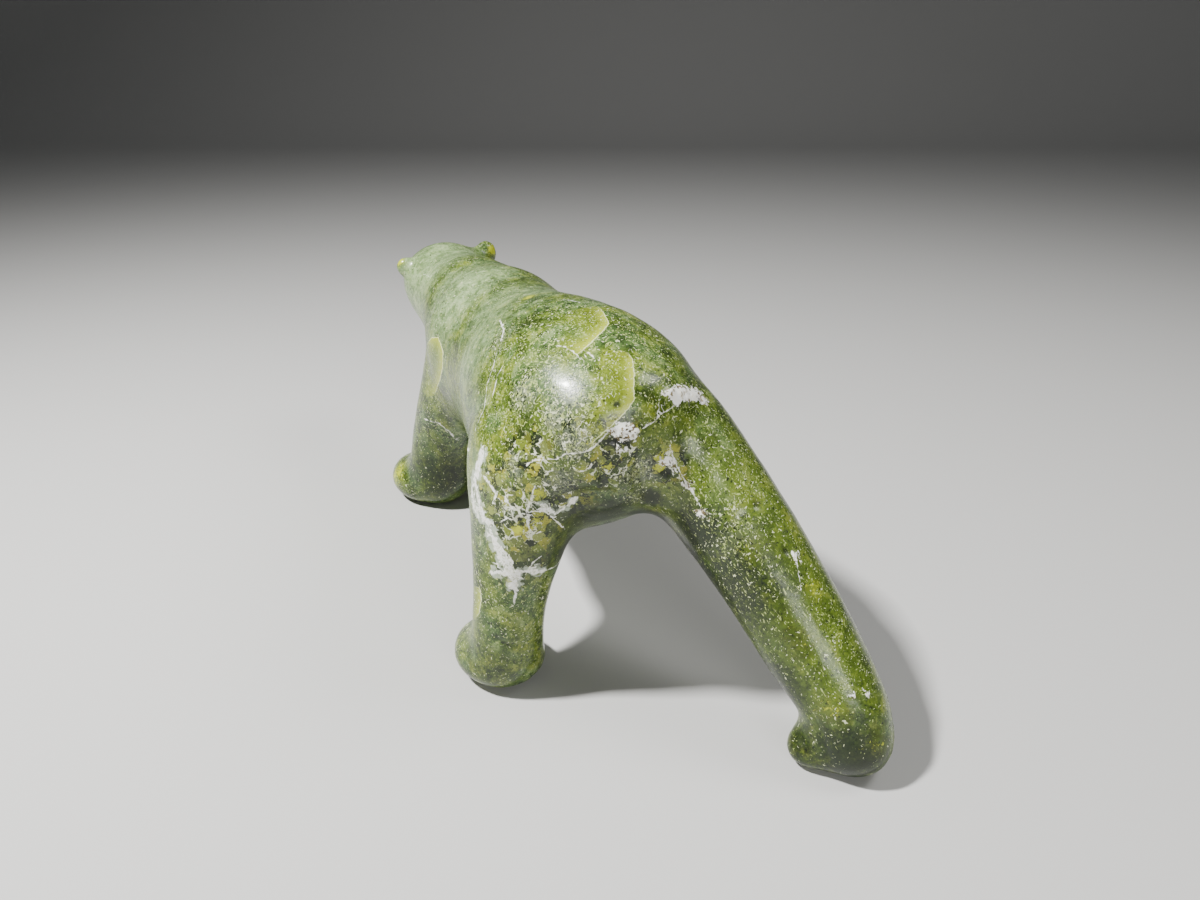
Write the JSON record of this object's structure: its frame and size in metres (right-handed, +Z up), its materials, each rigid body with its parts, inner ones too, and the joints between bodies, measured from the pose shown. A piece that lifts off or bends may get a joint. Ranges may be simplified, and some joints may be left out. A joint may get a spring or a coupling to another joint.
{
  "type": "carved stone bear figurine",
  "caption": "Walking bear carved from a single piece of polished green stone, standing on its paws with its head low and forward.",
  "frame": {"origin": "middle of the bounding box, on the surface the four soles stand on", "axes": "+X the way the bear walks, from rump to nose, +Y its left side, +Z up"},
  "size_m": [0.303, 0.1048, 0.1188],
  "materials": {
    "green_serpentine": "hand-polished, satin to gloss, with pale veins and pitted crust"
  },
  "bodies": {
    "root": {"bear": "green_serpentine"}
  },
  "joints": []
}
